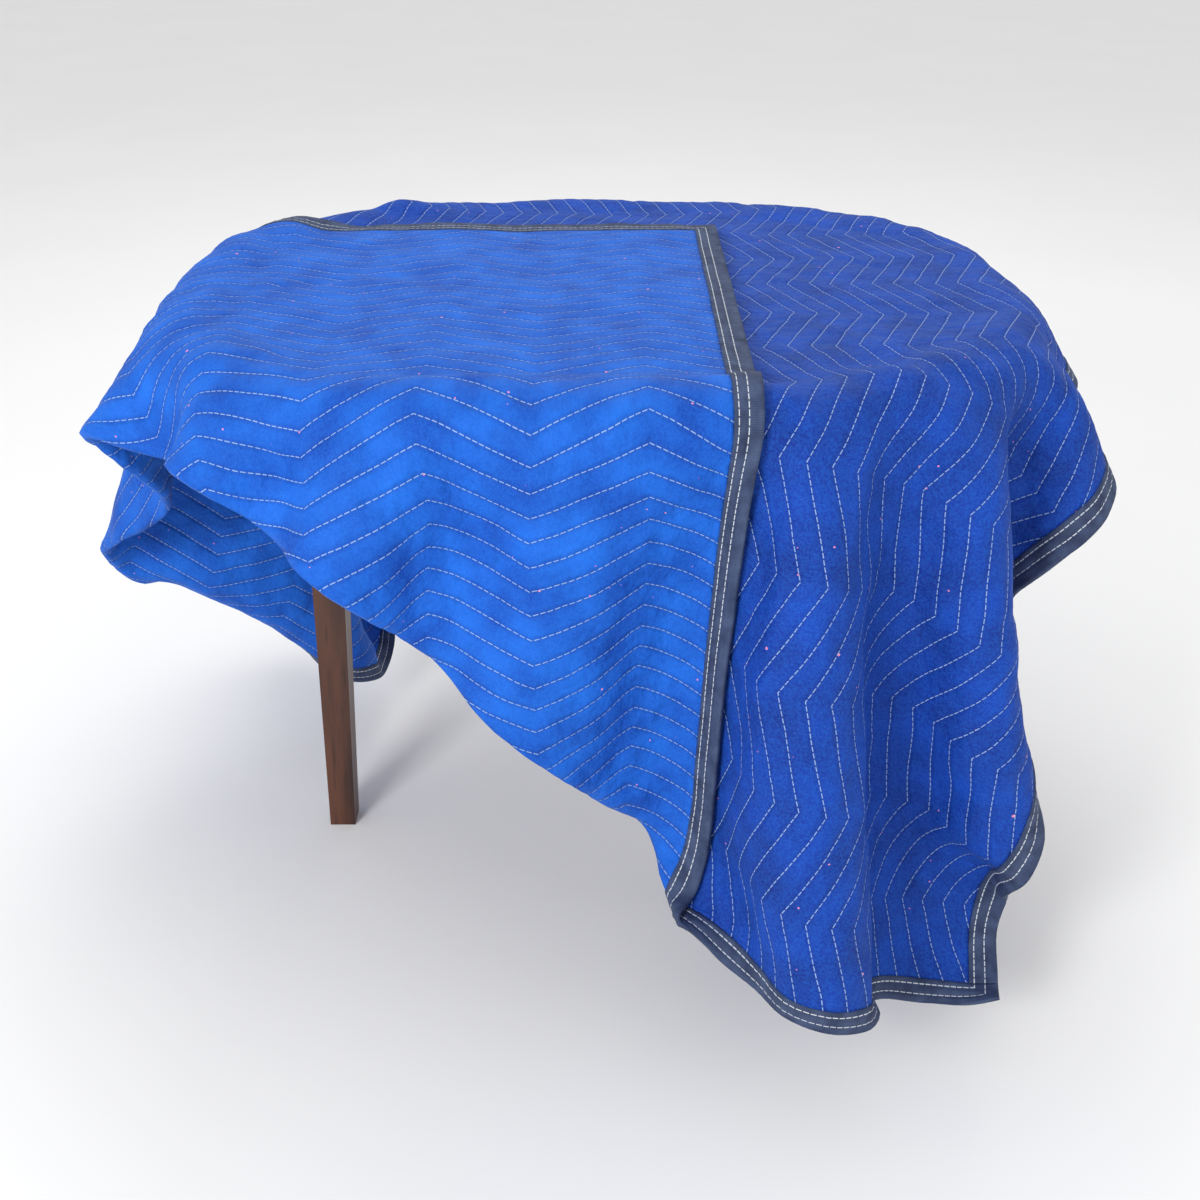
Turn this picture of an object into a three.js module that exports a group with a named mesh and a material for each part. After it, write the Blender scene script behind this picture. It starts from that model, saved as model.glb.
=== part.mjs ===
// A quilted moving blanket thrown over a plain oval three-legged table, its front left corner
// turned back over the top. Millimetres, +Z up, the floor at z = 0. The cloth is worked out on a flat grid
// and then let down over the table edge by a small relaxation, so it keeps its cut size.
import * as THREE from 'three';
import { mergeVertices } from 'three/addons/utils/BufferGeometryUtils.js';

// ---- driving dimensions -------------------------------------------------------------
const TABLE = { halfWidth: 488, halfDepth: 398, roundness: 2.6, height: 750, thick: 26, edge: 12 };
const HANG = { halfWidth: 500, halfDepth: 410, round: 14 };   // where the cloth turns down, outside the rim
const LEG = { top: 48, foot: 33, left: -345, right: 240, spread: 225 };
const RAIL = { thick: 24, deep: 62 };
const SEAT_GAP = 0.3;                     // between wooden pieces
const CLOTH = { thick: 4, left: -1075, front: -990 };
const TAPE = { wide: 38, thick: 4.6, gap: 1 };
const CELL = 44.6;                        // flat size of one square of the cloth grid
const CELLS = { across: 37, along: 37 };
const FOLD_AT = 26;                       // squares from the corner at which the fold runs, both ways
const LAYER = 9.5;                        // between the middles of the two layers at the turned corner
const REST_ON_TOP = CLOTH.thick / 2 + 1.2;
const EDGE_CLEAR = CLOTH.thick / 2 + 3;
const MIDDLE_CLEAR = CLOTH.thick / 2;      // the same, half way between two grid points
const PINNED = 0.85;                      // share of the table top on which the cloth lies flat
const SETTLE = { steps: 300, rounds: 12, fall: 0.9, glide: 0.94, calm: 0.85, calmAfter: 0.6 };
const FLOOR_CLEAR = 8;

// How the cloth pulls on itself: offsets in grid squares, stiffness, and for the two that keep
// it from creasing, how close they may come as a share of their flat distance.
const THREADS = [
  { across: 1, along: 0, stiff: 1.0 },
  { across: 0, along: 1, stiff: 1.0 },
  { across: 1, along: 1, stiff: 0.35 },
  { across: 1, along: -1, stiff: 0.35 },
  { across: 2, along: 0, stiff: 0.08, least: 0.6 },
  { across: 0, along: 2, stiff: 0.08, least: 0.6 },
];
const FOLDED_STIFF = 0.5;                 // once a pair comes closer than its least share

// Where the cloth was arranged by hand: flat place on the cloth (u, v), the place it hangs at
// from the middle of the table top (x, y, z), and how firmly it is drawn there.
const ARRANGED = [
  { name: 'left hem at the fold', u: -1075, v: 246, x: -500, y: 225, z: -455, firm: 0.04 },
  { name: 'left hem behind', u: -1075, v: 736, x: -330, y: 410, z: -510, firm: 0.02 },
  { name: 'left bulge', u: -700, v: -350, x: -480, y: -260, z: -170, firm: 0.04 },
  { name: 'tip of the fold', u: 161, v: -990, x: 100, y: -455, z: -540, firm: 0.05 },
  { name: 'front right corner', u: 652, v: -990, x: 430, y: -450, z: -640, firm: 0.06 },
  { name: 'front hem, left', u: 250, v: -990, x: 155, y: -490, z: -600, firm: 0.05 },
  { name: 'front hem, middle', u: 430, v: -990, x: 285, y: -490, z: -612, firm: 0.05 },
  { name: 'right hem, low', u: 652, v: -800, x: 410, y: -400, z: -520, firm: 0.04 },
  { name: 'right hem, tucked low', u: 652, v: -600, x: 390, y: -350, z: -390, firm: 0.04 },
  { name: 'right hem, tucked high', u: 652, v: -420, x: 425, y: -330, z: -225, firm: 0.04 },
  { name: 'right hem, front', u: 652, v: -150, x: 545, y: -150, z: -205, firm: 0.04 },
  { name: 'right hem, back', u: 652, v: 150, x: 545, y: 120, z: -205, firm: 0.04 },
];

// ---- the flat cloth -----------------------------------------------------------------
// Grid lines: the hem, the inner edge of the tape, then even squares.
function gridLines(start, cells) {
  const lines = [start];
  for (let i = 0; i <= cells; i++) lines.push(start + TAPE.wide + CELL * i);
  lines.push(start + 2 * TAPE.wide + CELL * cells);
  return lines;
}
const U = gridLines(CLOTH.left, CELLS.across);
const V = gridLines(CLOTH.front, CELLS.along);
const FOLD_SUM = CLOTH.left + CLOTH.front + 2 * TAPE.wide + CELL * FOLD_AT;
const ON_FOLD = 1e-6;
const index = (i, j) => i * V.length + j;
const isBase = (u, v) => u + v > FOLD_SUM - ON_FOLD;

// 1 on an oval with the given half sizes, less inside it.
function reach(x, y, oval = HANG) {
  const sum = Math.abs(x / oval.halfWidth) ** TABLE.roundness
    + Math.abs(y / oval.halfDepth) ** TABLE.roundness;
  return sum ** (1 / TABLE.roundness);
}

function threadPairs(thread) {
  const sets = [[], []];
  const step = Math.max(Math.abs(thread.across), Math.abs(thread.along)) === 2 ? 2 : 1;
  for (let i = 0; i < U.length; i++) {
    for (let j = 0; j < V.length; j++) {
      const k = i + thread.across;
      const m = j + thread.along;
      if (k >= U.length || m < 0 || m >= V.length) continue;
      if (!isBase(U[i], V[j]) || !isBase(U[k], V[m])) continue;
      const key = thread.across > 0 ? i : j;
      const rest = Math.hypot(U[k] - U[i], V[m] - V[j]);
      sets[Math.floor(key / step) % 2].push([index(i, j), index(k, m), rest]);
    }
  }
  return sets.map((pairs) => ({ pairs, ...thread }));
}

function pullTogether(place, set) {
  for (const [a, b, rest] of set.pairs) {
    const dx = place[3 * b] - place[3 * a];
    const dy = place[3 * b + 1] - place[3 * a + 1];
    const dz = place[3 * b + 2] - place[3 * a + 2];
    const long = Math.sqrt(dx * dx + dy * dy + dz * dz);
    let share = (0.5 * set.stiff * (long - rest)) / long;
    const short = set.least ? Math.min(long - set.least * rest, 0) : 0;
    share += (0.5 * FOLDED_STIFF * short) / long;
    place[3 * a] += share * dx;
    place[3 * a + 1] += share * dy;
    place[3 * a + 2] += share * dz;
    place[3 * b] -= share * dx;
    place[3 * b + 1] -= share * dy;
    place[3 * b + 2] -= share * dz;
  }
}

// How far a point must move to lie clear of the rounded slab the cloth hangs over, and of
// the floor.
function wayOut(x, y, z, clear) {
  const radius = Math.sqrt(x * x + y * y);
  const rim = radius / Math.max(reach(x, y), 1e-6) - HANG.round;
  const inside = Math.min(radius, rim) / Math.max(radius, 1e-9);
  const dx = x * (1 - inside);
  const dy = y * (1 - inside);
  const dz = z + HANG.round;
  const away = Math.sqrt(dx * dx + dy * dy + dz * dz);
  const grow = Math.max((HANG.round + clear) / Math.max(away, 1e-6) - 1, 0);
  const up = Math.max(FLOOR_CLEAR - TABLE.height - (z + dz * grow), 0);
  return [dx * grow, dy * grow, dz * grow + up];
}

function keepClear(place, n) {
  const out = wayOut(place[3 * n], place[3 * n + 1], place[3 * n + 2], EDGE_CLEAR);
  for (let k = 0; k < 3; k++) place[3 * n + k] += out[k];
}

// The same for the middle of a straight piece of cloth between two grid points.
function keepMiddlesClear(place, set) {
  for (const [a, b] of set.pairs) {
    const middle = [0, 1, 2].map((k) => (place[3 * a + k] + place[3 * b + k]) / 2);
    const out = wayOut(...middle, MIDDLE_CLEAR);
    for (let k = 0; k < 3; k++) {
      place[3 * a + k] += out[k];
      place[3 * b + k] += out[k];
    }
  }
}

function nearest(lines, value) {
  let best = 0;
  lines.forEach((line, i) => {
    if (Math.abs(line - value) < Math.abs(lines[best] - value)) best = i;
  });
  return best;
}

// The laid part of the cloth as it hangs, measured from the middle of the table top.
function drapeCloth() {
  const count = U.length * V.length;
  const place = new Float64Array(3 * count);
  const pins = [];
  U.forEach((u, i) => V.forEach((v, j) => {
    const far = reach(u, v);
    const over = Math.max(Math.hypot(u, v) * (1 - 1 / Math.max(far, 1e-6)), 0);
    const shrink = 1 - (0.13 * over) / Math.max(Math.hypot(u, v), 1);
    place.set([u * shrink, v * shrink, REST_ON_TOP - 0.5 * over], 3 * index(i, j));
    if (far < PINNED && isBase(u, v)) pins.push([index(i, j), u, v]);
  }));
  const sets = THREADS.flatMap(threadPairs);
  const edges = sets.filter((set) => !set.least && set.across + set.along < 2);
  const drawn = ARRANGED.map((row) => ({ ...row, at: index(nearest(U, row.u), nearest(V, row.v)) }));
  let before = place.slice();
  for (let step = 0; step < SETTLE.steps; step++) {
    const glide = step < SETTLE.steps * SETTLE.calmAfter ? SETTLE.glide : SETTLE.calm;
    const now = place.slice();
    for (let k = 0; k < place.length; k++) place[k] += (now[k] - before[k]) * glide;
    for (let n = 0; n < count; n++) place[3 * n + 2] -= SETTLE.fall;
    before = now;
    for (let round = 0; round < SETTLE.rounds; round++) {
      sets.forEach((set) => pullTogether(place, set));
      for (const { at, x, y, z, firm } of drawn) {
        place[3 * at] += firm * (x - place[3 * at]);
        place[3 * at + 1] += firm * (y - place[3 * at + 1]);
        place[3 * at + 2] += firm * (z - place[3 * at + 2]);
      }
      for (let n = 0; n < count; n++) keepClear(place, n);
      edges.forEach((set) => keepMiddlesClear(place, set));
      for (const [n, u, v] of pins) place.set([u, v, REST_ON_TOP], 3 * n);
    }
  }
  return place;
}

const draped = drapeCloth();
const spot = (i, j) => new THREE.Vector3().fromArray(draped, 3 * index(i, j));

// The side of the laid cloth that faces up, at a grid point, from its neighbours on the cloth.
function upward(i, j) {
  const onCloth = (k, m) => U[k] !== undefined && V[m] !== undefined && isBase(U[k], V[m]);
  const slope = (di, dj) => {
    const ahead = onCloth(i + di, j + dj) ? spot(i + di, j + dj) : spot(i, j);
    const behind = onCloth(i - di, j - dj) ? spot(i - di, j - dj) : spot(i, j);
    return ahead.sub(behind);
  };
  return slope(1, 0).cross(slope(0, 1)).normalize();
}
const raised = U.map((u, i) => V.map((v, j) => (isBase(u, v) ? upward(i, j) : null)));

// Place and upward side of the laid cloth at any flat place, straight within each half square.
function sampleCloth(u, v) {
  const find = (lines, value) => {
    let k = 0;
    while (k < lines.length - 2 && lines[k + 1] <= value + ON_FOLD) k++;
    return k;
  };
  const i = find(U, u);
  const j = find(V, v);
  const s = (u - U[i]) / (U[i + 1] - U[i]);
  const t = (v - V[j]) / (V[j + 1] - V[j]);
  const near = s + t <= 1 && isBase(U[i], V[j]);
  const corners = near
    ? [[i, j, 1 - s - t], [i + 1, j, s], [i, j + 1, t]]
    : [[i + 1, j + 1, s + t - 1], [i + 1, j, 1 - t], [i, j + 1, 1 - s]];
  const at = new THREE.Vector3();
  const up = new THREE.Vector3();
  for (const [k, m, weight] of corners) {
    at.addScaledVector(spot(k, m), weight);
    up.addScaledVector(raised[k][m], weight);
  }
  return { at, up: up.normalize() };
}

// Middle of the whole cloth and the direction of its first face. Past the fold the cloth is
// turned over and lies a layer above itself.
function clothPoint(u, v) {
  const level = u + v - FOLD_SUM;
  if (level > ON_FOLD) {
    const { at, up } = sampleCloth(u, v);
    return { at, face: up };
  }
  if (level < -ON_FOLD) {
    const { at, up } = sampleCloth(FOLD_SUM - v, FOLD_SUM - u);
    return { at: at.addScaledVector(up, LAYER), face: up.negate() };
  }
  const { at, up } = sampleCloth(u, v);
  const inward = sampleCloth(u + CELL / 4, v + CELL / 4).at.sub(at).normalize();
  at.addScaledVector(up, LAYER / 2).addScaledVector(inward, -LAYER / 2);
  return { at, face: inward };
}

// ---- solids ---------------------------------------------------------------------------
function solidFromFaces(points, faces) {
  const geometry = new THREE.BufferGeometry();
  geometry.setAttribute('position', new THREE.Float32BufferAttribute(points.flat(), 3));
  geometry.setIndex(faces.flat());
  return geometry;
}

// A closed sheet over the flat lines us × vs, half its thickness to either side.
function sheetSolid(us, vs, thick) {
  const points = [];
  for (const side of [1, -1]) {
    for (const u of us) {
      for (const v of vs) {
        const { at, face } = clothPoint(u, v);
        points.push(at.addScaledVector(face, (side * thick) / 2).toArray());
      }
    }
  }
  const under = us.length * vs.length;
  const at = (i, j) => i * vs.length + j;
  const faces = [];
  for (let i = 0; i + 1 < us.length; i++) {
    for (let j = 0; j + 1 < vs.length; j++) {
      const [a, b, c, d] = [at(i, j), at(i + 1, j), at(i + 1, j + 1), at(i, j + 1)];
      faces.push([a, b, d], [b, c, d]);
      faces.push([a + under, d + under, b + under], [b + under, d + under, c + under]);
    }
  }
  const rim = [];
  for (let i = 0; i + 1 < us.length; i++) rim.push(at(i, 0));
  for (let j = 0; j + 1 < vs.length; j++) rim.push(at(us.length - 1, j));
  for (let i = us.length - 1; i > 0; i--) rim.push(at(i, vs.length - 1));
  for (let j = vs.length - 1; j > 0; j--) rim.push(at(0, j));
  rim.forEach((a, k) => {
    const b = rim[(k + 1) % rim.length];
    faces.push([a, a + under, b], [b, a + under, b + under]);
  });
  return solidFromFaces(points, faces);
}

// Grid lines between two indices, the outermost moved in by the sewing gap where asked.
function span(lines, from, to, gapStart, gapEnd) {
  const part = lines.slice(from, to + 1);
  part[0] += gapStart;
  part[part.length - 1] -= gapEnd;
  return part;
}

// The same lines with one more, where the fold crosses the outer edge of a tape.
function withLine(lines, value) {
  return [...lines, value].sort((a, b) => a - b);
}

function tableTopGeometry() {
  const outline = new THREE.Shape();
  const steps = 64;
  for (let k = 0; k < steps; k++) {
    const angle = (2 * Math.PI * k) / steps;
    const far = reach(Math.cos(angle), Math.sin(angle), TABLE);
    const length = 1 / far - TABLE.edge;
    const point = [length * Math.cos(angle), length * Math.sin(angle)];
    if (k === 0) outline.moveTo(...point);
    else outline.lineTo(...point);
  }
  outline.closePath();
  const geometry = new THREE.ExtrudeGeometry(outline, {
    depth: TABLE.thick - 2 * TABLE.edge,
    bevelEnabled: true,
    bevelThickness: TABLE.edge,
    bevelSize: TABLE.edge,
    bevelSegments: 3,
    steps: 1,
  });
  return geometry.translate(0, 0, TABLE.edge - TABLE.thick);
}

function legGeometry() {
  const height = TABLE.height - TABLE.thick - SEAT_GAP;
  const diagonal = Math.SQRT1_2;
  const geometry = new THREE.CylinderGeometry(LEG.top * diagonal, LEG.foot * diagonal, height, 4, 1);
  return geometry.rotateY(Math.PI / 4).rotateX(Math.PI / 2).translate(0, 0, height / 2 - TABLE.height);
}

function railGeometry(length, along) {
  const size = along ? [length, RAIL.thick] : [RAIL.thick, length];
  const z = -TABLE.thick - SEAT_GAP - RAIL.deep / 2;
  return new THREE.BoxGeometry(...size, RAIL.deep).translate(0, 0, z);
}

// ---- materials --------------------------------------------------------------------------
const quilt = new THREE.MeshStandardMaterial({ color: 0x1f4fc4, roughness: 0.8, metalness: 0 });
const tape = new THREE.MeshStandardMaterial({ color: 0x3a465c, roughness: 0.85, metalness: 0 });
const wood = new THREE.MeshStandardMaterial({ color: 0x4f2a18, roughness: 0.45, metalness: 0 });

// ---- assembly -----------------------------------------------------------------------------
const model = new THREE.Group();
const body = new THREE.Group();
model.add(body);

function addPiece(name, geometry, material, x = 0, y = 0) {
  geometry.deleteAttribute('normal');
  geometry.deleteAttribute('uv');
  const mesh = new THREE.Mesh(mergeVertices(geometry, 1e-4), material.clone());
  mesh.name = name;
  mesh.position.set(x, y, 0);
  body.add(mesh);
  return mesh;
}

const lastU = U.length - 1;
const lastV = V.length - 1;
const g = TAPE.gap;
const innerU = span(U, 1, lastU - 1, g, g);
const innerV = span(V, 1, lastV - 1, g, g);
addPiece('quilted_panel', sheetSolid(innerU, innerV, CLOTH.thick), quilt);
const frontLines = withLine(U, FOLD_SUM - V[0]);
const leftLines = withLine(innerV, FOLD_SUM - U[0]);
addPiece('binding_front', sheetSolid(frontLines, span(V, 0, 1, 0, g), TAPE.thick), tape);
addPiece('binding_back', sheetSolid(U.slice(), span(V, lastV - 1, lastV, g, 0), TAPE.thick), tape);
addPiece('binding_left', sheetSolid(span(U, 0, 1, 0, g), leftLines, TAPE.thick), tape);
addPiece('binding_right', sheetSolid(span(U, lastU - 1, lastU, g, 0), innerV, TAPE.thick), tape);

addPiece('table_top', tableTopGeometry(), wood);
addPiece('leg_left', legGeometry(), wood, LEG.left, 0);
addPiece('leg_front', legGeometry(), wood, LEG.right, -LEG.spread);
addPiece('leg_back', legGeometry(), wood, LEG.right, LEG.spread);
const beside = LEG.top / 2 + SEAT_GAP;
addPiece('rail_cross', railGeometry(2 * (LEG.spread - beside), false), wood, LEG.right, 0);
const railFrom = LEG.left + beside;
const railTo = LEG.right - RAIL.thick / 2 - SEAT_GAP;
addPiece('rail_long', railGeometry(railTo - railFrom, true), wood, (railFrom + railTo) / 2, 0);

// The origin is under the middle of everything built, on the floor.
model.updateMatrixWorld(true);
const bounds = new THREE.Box3().setFromObject(model, true);
const middle = bounds.getCenter(new THREE.Vector3());
body.position.set(-middle.x, -middle.y, TABLE.height);

export default model;
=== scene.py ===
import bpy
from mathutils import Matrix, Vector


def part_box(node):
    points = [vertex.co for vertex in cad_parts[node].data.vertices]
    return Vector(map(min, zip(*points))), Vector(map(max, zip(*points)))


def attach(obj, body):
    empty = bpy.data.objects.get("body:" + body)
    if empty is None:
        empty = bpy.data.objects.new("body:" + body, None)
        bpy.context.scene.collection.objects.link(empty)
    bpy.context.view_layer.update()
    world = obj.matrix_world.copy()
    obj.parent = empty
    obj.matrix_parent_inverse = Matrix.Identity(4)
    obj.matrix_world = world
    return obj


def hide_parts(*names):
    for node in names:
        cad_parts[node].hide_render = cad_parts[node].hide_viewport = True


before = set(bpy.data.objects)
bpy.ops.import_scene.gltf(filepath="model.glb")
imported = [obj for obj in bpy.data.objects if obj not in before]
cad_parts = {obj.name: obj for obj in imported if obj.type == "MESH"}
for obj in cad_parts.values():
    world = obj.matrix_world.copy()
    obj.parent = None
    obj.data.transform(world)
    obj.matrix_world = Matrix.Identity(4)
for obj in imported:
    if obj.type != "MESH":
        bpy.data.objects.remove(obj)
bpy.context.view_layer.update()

import bpy
import numpy as np
from mathutils import Vector

# ---- the cloth, in millimetres from the middle of the table top ------------------------
# u and v are places on the flat cloth; LEFT and FRONT are its first corner
LEFT, FRONT = -1075.0, -990.0
# the grid: a band along each hem, with square cells between
TAPE, CELL, CELLS = 38.0, 44.6, 37
# u + v at the fold, in cells from the inner corner of the bands
FOLD_AT = 26
# what the cloth hangs round: a rounded slab, a little larger than the table top
HALF_X, HALF_Y, ROUNDNESS, EDGE, HEIGHT = 500.0, 410.0, 2.6, 14.0, 750.0
# height over the top where it lies, and distance kept by grid points and by the middles between
REST, CLEAR, MIDDLE_CLEAR, FLOOR_CLEAR = 3.2, 5.0, 2.0, 8.0
# between the middles of the two layers at the fold
LAYER = 9.5
# stiffness across a cell and over two cells, and against bending past LEAST of the flat length
SHEAR, BEND, FOLDED, LEAST = 0.35, 0.08, 0.5, 0.6
# the settling: steps, how many of them are quick, passes in each, speed kept, fall in each
STEPS, QUICK_STEPS, PASSES = 300, 180, 12
QUICK, SLOW, FALL = 0.94, 0.85, 0.9
# the start shape: drawn in and let down past the rim; pinned within PINNED of the rim
SHRINK, DROOP, PINNED = 0.13, 0.5, 0.85
FOLD_SUM = LEFT + FRONT + 2 * TAPE + CELL * FOLD_AT
SIDE = 2 * TAPE + CELL * CELLS
BACK, RIGHT = FRONT + SIDE, LEFT + SIDE
# width of the tape that is seen; TAPE is the band that its solids take up
SHOWN = 29.0
# pulls given to bring the hems near the photo's: flat place (u, v), goal (x, y, z),
# how firmly
ARRANGED = [
    (-1075, 246, -500, 225, -455, .04), (-1075, 736, -330, 410, -510, .02),
    (-700, -350, -480, -260, -170, .04), (161, -990, 100, -455, -540, .05),
    (652, -990, 430, -450, -640, .06), (250, -990, 155, -490, -600, .05),
    (430, -990, 285, -490, -612, .05), (652, -800, 410, -400, -520, .04),
    (652, -600, 390, -350, -390, .04), (652, -420, 425, -330, -225, .04),
    (652, -150, 545, -150, -205, .04), (652, 150, 545, 120, -205, .04),
]


def grid_lines(start):
    inner = start + TAPE + CELL * np.arange(CELLS + 1)
    return np.concatenate([[start], inner, [start + SIDE]])


U, V = grid_lines(LEFT), grid_lines(FRONT)
UU, VV = np.meshgrid(U, V, indexing="ij")
BASE = UU + VV > FOLD_SUM - 1e-6


def reach(x, y):
    """1 on the slab's outline, less within it."""
    total = np.abs(x / HALF_X) ** ROUNDNESS + np.abs(y / HALF_Y) ** ROUNDNESS
    return total ** (1 / ROUNDNESS)


def way_out(p, clear):
    """The shift that takes each point out of the slab and the floor."""
    x, y = p[:, 0], p[:, 1]
    radius = np.sqrt(x * x + y * y)
    rim = radius / np.maximum(reach(x, y), 1e-6) - EDGE
    inside = np.minimum(radius, rim) / np.maximum(radius, 1e-9)
    d = np.stack([x * (1 - inside), y * (1 - inside), p[:, 2] + EDGE], 1)
    away = np.sqrt((d * d).sum(1))
    out = d * np.maximum((EDGE + clear) / np.maximum(away, 1e-6) - 1, 0)[:, None]
    out[:, 2] += np.maximum(FLOOR_CLEAR - HEIGHT - (p[:, 2] + out[:, 2]), 0)
    return out


def drape():
    """The grid of the laid cloth, settled over the table under the listed pulls."""
    n = len(V)
    far, r = reach(UU, VV), np.hypot(UU, VV)
    over = np.maximum(r * (1 - 1 / np.maximum(far, 1e-6)), 0)
    shrink = 1 - SHRINK * over / np.maximum(r, 1)
    p = np.stack([UU * shrink, VV * shrink, REST - DROOP * over], 2).reshape(-1, 3)
    pinned = ((far < PINNED) & BASE).ravel()
    flat = np.stack([UU.ravel(), VV.ravel(), np.full(UU.size, REST)], 1)
    i, j = np.meshgrid(np.arange(len(U)), np.arange(n), indexing="ij")
    sets, edges = [], []
    springs = [(1, 0, 1), (0, 1, 1), (1, 1, SHEAR), (1, -1, SHEAR), (2, 0, BEND), (0, 2, BEND)]
    for di, dj, stiff in springs:
        step, key = max(abs(di), abs(dj)), i if di > 0 else j
        for turn in range(2):
            ok = (i + di < len(U)) & (j + dj < n) & (j + dj >= 0)
            ok &= (key // step) % 2 == turn
            a, b = (i * n + j)[ok], ((i + di) * n + j + dj)[ok]
            both = BASE.ravel()[a] & BASE.ravel()[b]
            a, b = a[both], b[both]
            rest = np.linalg.norm(flat[a] - flat[b], axis=1)
            sets.append((a, b, rest, stiff, step == 2))
            if (di, dj) in [(1, 0), (0, 1), (1, -1)]:
                edges.append((a, b))
    drawn = [(np.argmin(abs(U - u)) * n + np.argmin(abs(V - v)), np.array([x, y, z]), k)
             for u, v, x, y, z, k in ARRANGED]
    before = p.copy()
    for step in range(STEPS):
        glide = QUICK if step < QUICK_STEPS else SLOW
        now = p.copy()
        p += (now - before) * glide
        p[:, 2] -= FALL
        before = now
        for _ in range(PASSES):
            for a, b, rest, stiff, bends in sets:
                d = p[b] - p[a]
                long = np.sqrt((d * d).sum(1))
                share = 0.5 * stiff * (long - rest) / long
                if bends:
                    back = 0.5 * FOLDED * (long - LEAST * rest) / long
                    share += np.where(long < LEAST * rest, back, 0)
                d *= share[:, None]
                p[a] += d
                p[b] -= d
            for at, goal, k in drawn:
                p[at] += k * (goal - p[at])
            p += way_out(p, CLEAR)
            for a, b in edges:
                out = way_out((p[a] + p[b]) / 2, MIDDLE_CLEAR)
                p[a] += out
                p[b] += out
            p[pinned] = flat[pinned]
            p[pinned, 2] = REST
    return p.reshape(len(U), n, 3)


CARRIED = 4       # grid lines past the fold
READ_STEP = 3.0   # for the slopes of the laid cloth
ROLL_END = 1.5707  # just under a quarter turn, where the roll ends


def carry_on(p):
    """The laid cloth continued a little way past the fold, so that it can be read smoothly."""
    known = BASE.copy()
    for _ in range(CARRIED):
        total, count = np.zeros_like(p), np.zeros(known.shape)
        for di, dj in [(1, 0), (0, 1), (1, 1)]:
            near = np.zeros_like(known)
            m, k = p.shape[0] - 2 * di, p.shape[1] - 2 * dj
            one = (slice(di, di + m), slice(dj, dj + k))
            two = (slice(2 * di, 2 * di + m), slice(2 * dj, 2 * dj + k))
            near[:m, :k] = known[one] & known[two]
            guess = np.zeros_like(p)
            guess[:m, :k] = 2 * p[one] - p[two]
            total += guess * near[..., None]
            count += near
        new = ~known & (count > 0)
        p[new] = total[new] / count[new][:, None]
        known |= new
    return p


def weights(lines, x):
    """Catmull-Rom over the grid lines: four indices and weights for each value."""
    k = np.clip(np.searchsorted(lines, x, side="right") - 1, 0, len(lines) - 2)
    t = (x - lines[k]) / (lines[k + 1] - lines[k])
    w = [-.5 * t + t ** 2 - .5 * t ** 3, 1 - 2.5 * t ** 2 + 1.5 * t ** 3,
         .5 * t + 2 * t ** 2 - 1.5 * t ** 3, -.5 * t ** 2 + .5 * t ** 3]
    idx = [np.clip(k + s, 0, len(lines) - 1) for s in (-1, 0, 1, 2)]
    return idx, w


def read(p, u, v):
    """The place in space of flat places u, v."""
    iu, wu = weights(U, u)
    iv, wv = weights(V, v)
    at = 0
    for a, wa in zip(iu, wu):
        for b, wb in zip(iv, wv):
            at = at + p[a, b] * (wa * wb)[..., None]
    return at


def unit(x):
    return x / np.maximum(np.linalg.norm(x, axis=-1, keepdims=True), 1e-9)


CLOTH = carry_on(drape())


def middle(u, v):
    """Middle of the whole cloth: laid, rolled over at the fold, or turned back on itself."""
    d = (u + v - FOLD_SUM) / np.sqrt(2)
    r = LAYER / 2
    roll = np.clip(d / r, -np.pi / 2, np.pi / 2)
    gone = np.maximum(np.abs(d) - r * np.pi / 2, 0)
    # foot of the point on the fold, then inwards again
    fu, fv = u - d / np.sqrt(2), v - d / np.sqrt(2)
    bu, bv = fu + gone / np.sqrt(2), fv + gone / np.sqrt(2)
    at = read(CLOTH, bu, bv)
    du = read(CLOTH, bu + READ_STEP, bv) - read(CLOTH, bu - READ_STEP, bv)
    dv = read(CLOTH, bu, bv + READ_STEP) - read(CLOTH, bu, bv - READ_STEP)
    up = unit(np.cross(du, dv))
    inward = unit(du + dv)
    at = at + up * (r * (1 - np.sin(roll)))[..., None]
    return at - inward * (r * np.cos(roll) * (np.abs(roll) < ROLL_END))[..., None]


# ---- relief ---------------------------------------------------------------------------
# the zigzag rows: distance between rows, half a zigzag, its swing and its start
PITCH, HALF_PERIOD, SWING, PHASE = 25.4, 111.0, 23.0, 215.0
# soft waves: how many, shortest and longest, height, and how far their phase wanders
WAVE_COUNT, SHORT_WAVE, LONG_WAVE, WAVE_HIGH = 26, 45, 170, 0.34
WANDER, WANDER_RATE = 1.3, 1.7
SMALL_CREASES, MARGIN = 150, 60
rng = np.random.default_rng(7)
# direction, length, phase
WAVES = [(rng.uniform(0, np.pi), rng.uniform(SHORT_WAVE, LONG_WAVE), rng.uniform(0, 6.28))
         for _ in range(WAVE_COUNT)]
# creases listed one by one: two flat ends (u, v, u, v), height, width
CREASES = [
    (-700, -160, -880, -700, 3.0, 9), (-620, -100, -800, -620, -2.4, 8),
    (-560, 60, -640, -330, 2.6, 8), (-900, -300, -640, -420, 2.8, 9),
    (-420, -900, -420, -420, -1.8, 6), (-520, -960, -500, -560, 1.6, 6),
    (150, 250, 420, 40, 2.4, 8), (200, 330, 470, 180, -2.2, 8), (120, 120, 400, -120, 1.8, 7),
    (180, -380, 240, -800, 2.6, 12), (330, -420, 350, -880, 2.4, 12), (300, 380, 480, 300, 2.0, 7),
]
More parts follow.
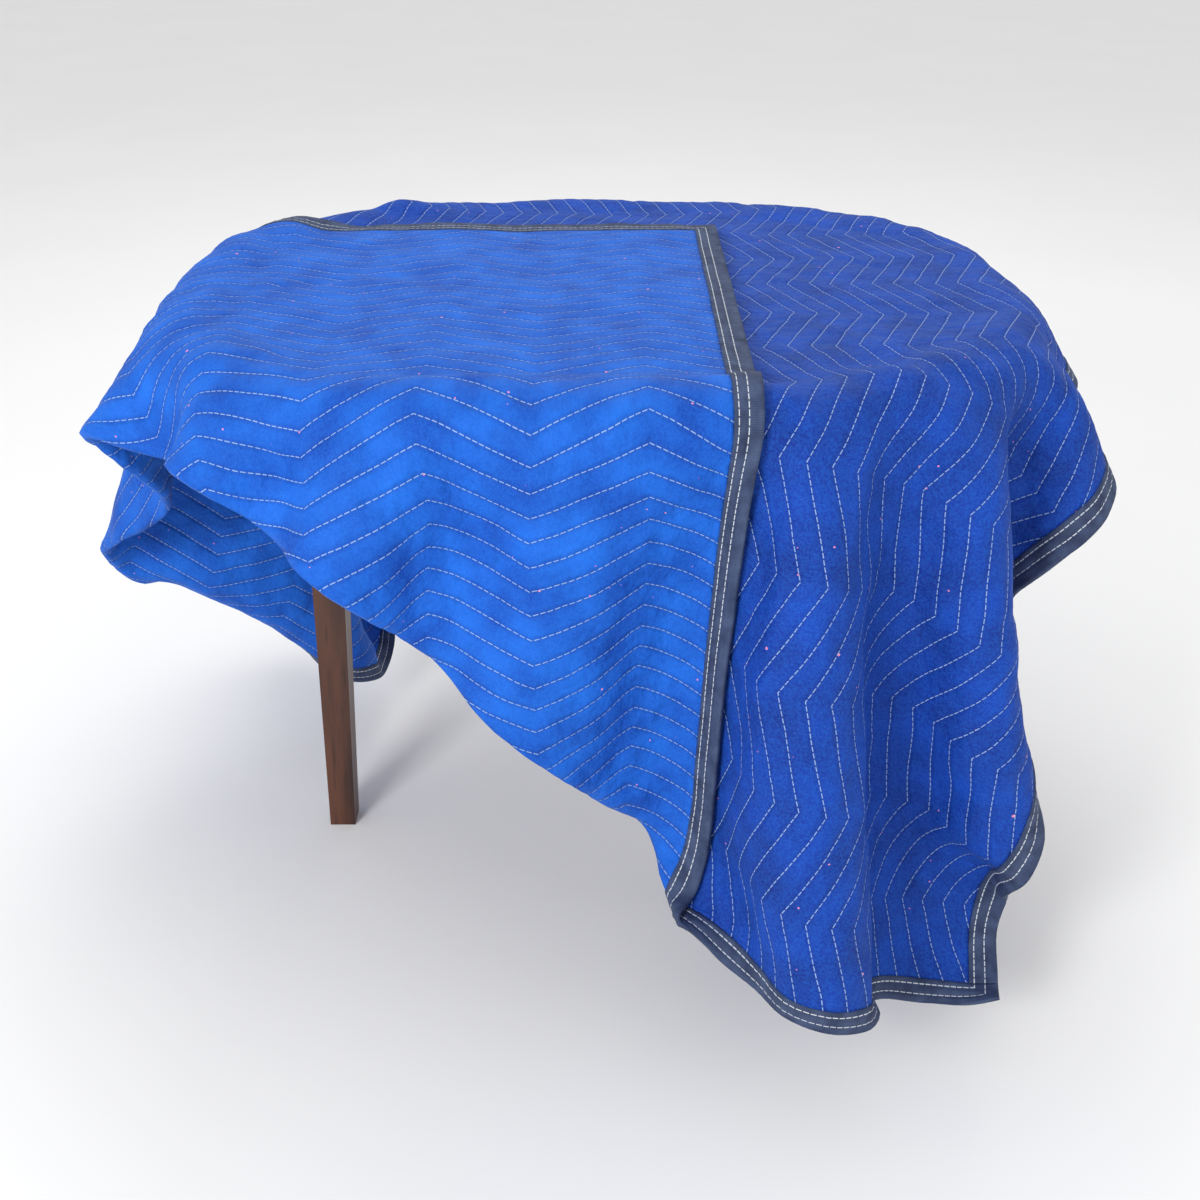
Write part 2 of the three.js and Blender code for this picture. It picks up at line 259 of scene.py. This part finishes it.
# and small random ones, mostly along v
for _ in range(SMALL_CREASES):
    cu = rng.uniform(LEFT + MARGIN, RIGHT - MARGIN)
    cv = rng.uniform(FRONT + MARGIN, BACK - MARGIN)
    angle, long = rng.normal(np.pi / 2, 0.5), rng.uniform(35, 130)
    du, dv = long * np.cos(angle), long * np.sin(angle)
    high = rng.uniform(0.7, 1.9) * rng.choice([-1, 1])
    CREASES.append((cu - du, cv - dv, cu + du, cv + dv, high, rng.uniform(6.5, 10)))


def stitch_phase(u, v):
    """Whole on the stitches of a zigzag row."""
    saw = np.abs(((v + PHASE) / HALF_PERIOD + 1) % 2 - 1)
    return (u - SWING * (2 * saw - 1)) / PITCH


def crinkle(u, v):
    """How far waves and creases lift the whole cloth."""
    h = 0
    for angle, length, phase in WAVES:
        s = (u * np.cos(angle) + v * np.sin(angle)) / length
        turn = 2 * np.pi * s + phase + WANDER * np.sin(s * WANDER_RATE + phase)
        h = h + np.sin(turn) * (length / LONG_WAVE)
    h = h * WAVE_HIGH
    for u0, v0, u1, v1, high, wide in CREASES:
        e = np.array([u1 - u0, v1 - v0], float)
        t = np.clip(((u - u0) * e[0] + (v - v0) * e[1]) / (e @ e), 0, 1)
        away = np.hypot(u - u0 - t * e[0], v - v0 - t * e[1])
        taper = np.sin(np.pi * np.clip(t, .02, .98)) ** .5
        h = h + high * np.exp(-(away / wide) ** 2) * taper
    return h


# ---- meshes ---------------------------------------------------------------------------
t_lo, t_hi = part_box("table_top")
ORIGIN = np.array([(t_lo[0] + t_hi[0]) / 2, (t_lo[1] + t_hi[1]) / 2, t_hi[2]])


def sheet_mesh(name, us, vs, half, height):
    """A closed sheet over flat lines us and vs; height(u, v) adds to its half thickness."""
    u, v = np.meshgrid(us, vs, indexing="ij")
    at = middle(u, v)
    face = unit(np.cross(np.gradient(at, axis=0), np.gradient(at, axis=1)))
    at = at + face * crinkle(u, v)[..., None]
    puff = (half + height(u, v))[..., None]
    both = np.concatenate([(at + face * puff).reshape(-1, 3),
                           (at - face * puff).reshape(-1, 3)])
    both = both / 1000 + ORIGIN
    n, m = len(us), len(vs)
    k = (np.arange(n - 1)[:, None] * m + np.arange(m - 1)[None]).ravel()
    top = np.stack([k, k + m, k + m + 1, k + 1], 1)
    off = n * m
    rim = np.concatenate([np.arange(n - 1) * m, (n - 1) * m + np.arange(m - 1),
                          np.arange(n - 1, 0, -1) * m + m - 1, np.arange(m - 1, 0, -1)])
    nxt = np.roll(rim, -1)
    sides = np.stack([rim, rim + off, nxt + off, nxt], 1)
    faces = np.concatenate([top, top[:, ::-1] + off, sides])
    mesh = bpy.data.meshes.new(name)
    mesh.from_pydata(both.tolist(), [], faces.tolist())
    mesh.polygons.foreach_set("use_smooth", np.ones(len(faces), bool))
    flat = mesh.attributes.new("flat", "FLOAT_VECTOR", "POINT")
    side = np.concatenate([np.ones(off), -np.ones(off)])
    place = np.stack([np.tile(u.ravel(), 2), np.tile(v.ravel(), 2), side], 1).astype(np.float32)
    flat.data.foreach_set("vector", place.ravel())
    mesh.update()
    obj = bpy.data.objects.new(name, mesh)
    bpy.context.scene.collection.objects.link(obj)
    return obj


PUFF, PUFF_FADE = 0.9, 12   # height between two rows, and where it fades by the tape
PANEL_HALF, TAPE_HALF = 1.2, 2.4


def quilt_height(u, v):
    s = stitch_phase(u, v) % 1
    edge = np.minimum.reduce([u - LEFT - SHOWN, RIGHT - SHOWN - u,
                              v - FRONT - SHOWN, BACK - SHOWN - v])
    return PUFF * np.sin(np.pi * s) ** .7 * np.clip(edge / PUFF_FADE, 0, 1)


def tape_height(u, v):
    s = np.where((u < LEFT + SHOWN) | (u > RIGHT - SHOWN), v, u)
    out = np.minimum.reduce([u - LEFT, RIGHT - u, v - FRONT, BACK - v]) / SHOWN
    pucker = np.sin(s * 0.62 + 1.5 * np.sin(s * 0.09)) * (0.35 + 0.45 * (out < .5))
    return pucker * np.clip(out * 6, 0.2, 1)


UNDER = 3.0   # how far the panel goes under the tape
PANEL_LINES, ALONG_LINES, SHORT_LINES, ACROSS_LINES = 217, 330, 318, 9
inner_u = np.linspace(LEFT + SHOWN - UNDER, RIGHT - SHOWN + UNDER, PANEL_LINES)
inner_v = np.linspace(FRONT + SHOWN - UNDER, BACK - SHOWN + UNDER, PANEL_LINES)
along = np.linspace(0, SIDE, ALONG_LINES)
short = np.linspace(SHOWN, SIDE - SHOWN, SHORT_LINES)
across = np.linspace(0, SHOWN, ACROSS_LINES)
panel = sheet_mesh("quilt_cloth", inner_u, inner_v, PANEL_HALF, quilt_height)
tapes = [sheet_mesh(name, us, vs, TAPE_HALF, tape_height) for name, us, vs in [
    ("tape_front", LEFT + along, FRONT + across),
    ("tape_back", LEFT + along, BACK - SHOWN + across),
    ("tape_left", LEFT + across, FRONT + short),
    ("tape_right", RIGHT - SHOWN + across, FRONT + short),
]]


# ---- materials ------------------------------------------------------------------------
class Nodes:
    """Short names for building a material's nodes."""

    def __init__(self, name):
        self.mat = bpy.data.materials.new(name)
        self.mat.use_nodes = True
        self.tree = self.mat.node_tree
        self.bsdf = self.tree.nodes["Principled BSDF"]

    def put(self, socket, value):
        if isinstance(value, bpy.types.NodeSocket):
            self.tree.links.new(value, socket)
        else:
            socket.default_value = value

    def math(self, op, a, b=0.0, c=0.0):
        n = self.tree.nodes.new("ShaderNodeMath")
        n.operation = op
        for s, x in zip(n.inputs, (a, b, c)):
            self.put(s, x)
        return n.outputs[0]

    def ramp(self, *values):
        """Value, from low, from high, to low, to high."""
        n = self.tree.nodes.new("ShaderNodeMapRange")
        for s, x in zip(n.inputs[:5], values):
            self.put(s, x)
        return n.outputs[0]

    def line(self, away, half, soft):
        """1 within half of zero, fading over soft."""
        return self.ramp(away, half, half + soft, 1.0, 0.0)

    def mix(self, factor, a, b):
        n = self.tree.nodes.new("ShaderNodeMix")
        n.data_type = "RGBA"
        for s, x in zip((n.inputs[0], n.inputs[6], n.inputs[7]), (factor, a, b)):
            self.put(s, x)
        return n.outputs[2]

    def noise(self, where, scale, detail=4.0):
        n = self.tree.nodes.new("ShaderNodeTexNoise")
        self.put(n.inputs["Vector"], where)
        n.inputs["Scale"].default_value = scale
        n.inputs["Detail"].default_value = detail
        return n.outputs["Fac"]

    def spread(self, fac, low, high):
        """0 at low to 1 at high."""
        return self.ramp(fac, low, high, 0.0, 1.0)

    def flat(self):
        """The place on the flat cloth as a vector, then u, v and the side."""
        n = self.tree.nodes.new("ShaderNodeAttribute")
        n.attribute_name = "flat"
        s = self.tree.nodes.new("ShaderNodeSeparateXYZ")
        self.put(s.inputs[0], n.outputs["Vector"])
        return n.outputs["Vector"], s.outputs[0], s.outputs[1], s.outputs[2]

    def bump(self, height, distance, strength=1.0, below=None):
        n = self.tree.nodes.new("ShaderNodeBump")
        self.put(n.inputs["Height"], height)
        n.inputs["Distance"].default_value = distance
        n.inputs["Strength"].default_value = strength
        if below is not None:
            self.put(n.inputs["Normal"], below)
        return n.outputs[0]


# colours, in linear light
# the blue is the cloth's own; the reverse tones are lighter and the face tones darker as painted
# light on the flap, which shows the reverse, and painted shade on the base, which shows the face
REVERSE_WITH_PAINTED_LIGHT = (0.001, 0.050, 0.36, 1), (0.008, 0.125, 0.62, 1)
FACE_WITH_PAINTED_SHADE = (0.001, 0.016, 0.19, 1), (0.003, 0.042, 0.36, 1)
# the second colour is painted shade for the stitch grooves
FIBRE, GROOVE_PAINTED_SHADE = (0.020, 0.22, 0.85, 1), (0.003, 0.022, 0.22, 1)
SPECK, THREAD, SHEEN = (0.75, 0.25, 0.42, 1), (0.38, 0.55, 0.86, 1), (0.2, 0.5, 1.0, 1)
TAPE_WORN = (0.022, 0.035, 0.085, 1), (0.065, 0.095, 0.185, 1)
TAPE_RIB, TAPE_THREAD = (0.010, 0.016, 0.045, 1), (0.58, 0.62, 0.66, 1)
TAPE_ROWS = 24.2, 14.3   # the two rows of stitches, from the hem
WOOD, PORE = ((0.030, 0.009, 0.005, 1), (0.115, 0.038, 0.018, 1)), (0.012, 0.004, 0.003, 1)
PALE = (0.86, 0.86, 0.86, 1), (0.9, 0.9, 0.9, 1)


def quilt_material():
    k = Nodes("quilted_nonwoven")
    where, u, v, side = k.flat()
    saw = k.math("PINGPONG", k.math("ADD", v, PHASE), HALF_PERIOD)
    swing = k.math("MULTIPLY_ADD", saw, 2 * SWING / HALF_PERIOD, -SWING)
    swung = k.math("SUBTRACT", u, swing)
    wander = k.math("MULTIPLY_ADD", k.noise(where, 0.012, 2.0), 5.0, -2.5)
    away = k.math("PINGPONG", k.math("ADD", swung, wander), PITCH / 2)
    groove = k.line(away, 0.8, 4.0)
    thread = k.line(away, 0.30, 0.42)
    dash = k.line(k.math("PINGPONG", v, 3.2), 2.2, 0.4)
    thread = k.math("MULTIPLY", thread, dash)
    cloudy = k.spread(k.noise(where, 0.018, 6.0), 0.3, 0.7)
    fibre = k.spread(k.noise(where, 0.55, 3.0), 0.35, 0.65)
    front = k.math("GREATER_THAN", side, 0.0)
    # painted light and shade: the flap's reverse takes the lighter tones, the base's face the
    # darker ones
    reverse_with_painted_light = k.mix(cloudy, *REVERSE_WITH_PAINTED_LIGHT)
    face = k.mix(cloudy, *FACE_WITH_PAINTED_SHADE)
    body = k.mix(front, reverse_with_painted_light, face)
    body = k.mix(k.math("MULTIPLY", fibre, 0.20), body, FIBRE)
    # painted shade: the stitch grooves are darkened, as shade in the recess
    body = k.mix(k.math("MULTIPLY", groove, 0.30), body, GROOVE_PAINTED_SHADE)
    speck = k.spread(k.noise(where, 0.16, 0.0), 0.865, 0.875)
    body = k.mix(speck, body, SPECK)
    body = k.mix(k.math("MULTIPLY", thread, 0.72), body, THREAD)
    k.put(k.bsdf.inputs["Base Color"], body)
    k.bsdf.inputs["Roughness"].default_value = 0.72
    k.bsdf.inputs["Specular IOR Level"].default_value = 0.22
    k.bsdf.inputs["Sheen Weight"].default_value = 0.05
    k.bsdf.inputs["Sheen Tint"].default_value = SHEEN
    low = k.bump(groove, 0.0011, 0.9)
    low.node.invert = True
    crush = k.bump(k.noise(where, 0.03, 9.0), 0.014, 0.75, low)
    fine = k.bump(k.noise(where, 0.9, 2.0), 0.0005, 0.4, crush)
    k.put(k.bsdf.inputs["Normal"], k.bump(thread, 0.0008, 0.7, fine))
    return k.mat


def tape_material():
    k = Nodes("binding_tape")
    where, u, v, _ = k.flat()
    to_u = k.math("MINIMUM", k.math("SUBTRACT", u, LEFT), k.math("SUBTRACT", RIGHT, u))
    to_v = k.math("MINIMUM", k.math("SUBTRACT", v, FRONT), k.math("SUBTRACT", BACK, v))
    out = k.math("MINIMUM", to_u, to_v)
    rows = k.math("MINIMUM", *[k.math("ABSOLUTE", k.math("SUBTRACT", out, row))
                               for row in TAPE_ROWS])
    lies = k.math("LESS_THAN", to_u, to_v)
    runs = k.math("ADD", k.math("MULTIPLY", lies, v),
                  k.math("MULTIPLY", k.math("SUBTRACT", 1.0, lies), u))
    dash = k.line(k.math("PINGPONG", runs, 3.4), 2.5, 0.3)
    thread = k.math("MULTIPLY", k.line(rows, 0.25, 0.4), dash)
    worn = k.spread(k.noise(where, 0.05, 5.0), 0.3, 0.7)
    body = k.mix(worn, *TAPE_WORN)
    rib = k.line(k.math("PINGPONG", runs, 0.9), 0.35, 0.3)
    body = k.mix(k.math("MULTIPLY", rib, 0.3), body, TAPE_RIB)
    body = k.mix(thread, body, TAPE_THREAD)
    k.put(k.bsdf.inputs["Base Color"], body)
    k.bsdf.inputs["Roughness"].default_value = 0.78
    k.bsdf.inputs["Specular IOR Level"].default_value = 0.3
    low = k.bump(k.line(rows, 0.8, 3.0), 0.0012, 0.8)
    low.node.invert = True
    k.put(k.bsdf.inputs["Normal"], k.bump(k.noise(where, 0.25, 5.0), 0.0012, 0.6, low))
    return k.mat


def wood_material(name, stretch):
    """Dark stained wood; stretch is small along the grain."""
    k = Nodes(name)
    where = k.tree.nodes.new("ShaderNodeTexCoord").outputs["Object"]
    turn = k.tree.nodes.new("ShaderNodeMapping")
    k.put(turn.inputs["Vector"], where)
    turn.inputs["Scale"].default_value = stretch
    grain = k.spread(k.noise(turn.outputs[0], 42.0, 8.0), 0.32, 0.68)
    pore = k.spread(k.noise(turn.outputs[0], 240.0, 3.0), 0.55, 0.75)
    body = k.mix(grain, *WOOD)
    body = k.mix(k.math("MULTIPLY", pore, 0.6), body, PORE)
    k.put(k.bsdf.inputs["Base Color"], body)
    k.put(k.bsdf.inputs["Roughness"], k.math("MULTIPLY_ADD", grain, 0.15, 0.32))
    k.put(k.bsdf.inputs["Normal"], k.bump(grain, 0.0004, 0.35))
    return k.mat


cloth, tape = quilt_material(), tape_material()
panel.data.materials.append(cloth)
for strip in tapes:
    strip.data.materials.append(tape)
upright = wood_material("stained_wood_upright", (1.0, 1.0, 0.08))
lying = wood_material("stained_wood_lying", (0.08, 1.0, 1.0))
for name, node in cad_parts.items():
    if name.startswith(("leg_", "table_", "rail_")):
        for slot in node.material_slots:
            slot.material = upright if name.startswith("leg_") else lying

# ---- what stands for what ---------------------------------------------------------------
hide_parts("quilted_panel")
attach(panel, "root")
for strip in tapes:
    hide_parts(strip.name.replace("tape_", "binding_"))
    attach(strip, "root")

# ---- camera, light and floor --------------------------------------------------------------
LOOKS_DOWN = 18   # degrees
scene = bpy.context.scene
camera = bpy.data.objects.new("camera", bpy.data.cameras.new("camera"))
scene.collection.objects.link(camera)
camera.data.sensor_width = 36
camera.data.lens = 46.35
camera.data.shift_y = -0.248
camera.location = Vector(ORIGIN) + Vector((0, -1.773, 0.558))
camera.rotation_euler = (np.radians(90 - LOOKS_DOWN), 0, 0)
scene.camera = camera

bpy.ops.mesh.primitive_plane_add(size=24, location=(0, 0, 0))
floor = bpy.context.object
floor.name = "floor"
pale = Nodes("pale_floor")
tint = pale.noise(pale.tree.nodes.new("ShaderNodeTexCoord").outputs["Object"], 2.0)
pale.put(pale.bsdf.inputs["Base Color"], pale.mix(tint, *PALE))
pale.bsdf.inputs["Roughness"].default_value = 0.9
floor.data.materials.append(pale.mat)

world = bpy.data.worlds.new("studio")
world.use_nodes = True
sky = world.node_tree.nodes["Background"].inputs
sky["Color"].default_value = (1, 1, 1, 1)
sky["Strength"].default_value = 0.8
scene.world = world


def lamp(name, place, aim, size, power):
    light = bpy.data.lights.new(name, "AREA")
    light.size, light.energy = size, power
    obj = bpy.data.objects.new(name, light)
    obj.location = place
    obj.rotation_euler = (Vector(aim) - Vector(place)).to_track_quat("-Z", "Y").to_euler()
    scene.collection.objects.link(obj)


lamp("key", (-1.7, -2.9, 1.9), (-0.1, 0, 0.45), 1.0, 70)
lamp("fill", (2.6, -1.8, 1.6), (0, 0, 0.5), 2.2, 14)
lamp("top", (0.2, 1.6, 3.0), (0, 0.6, 0.4), 2.4, 30)
scene.view_settings.view_transform = "Standard"
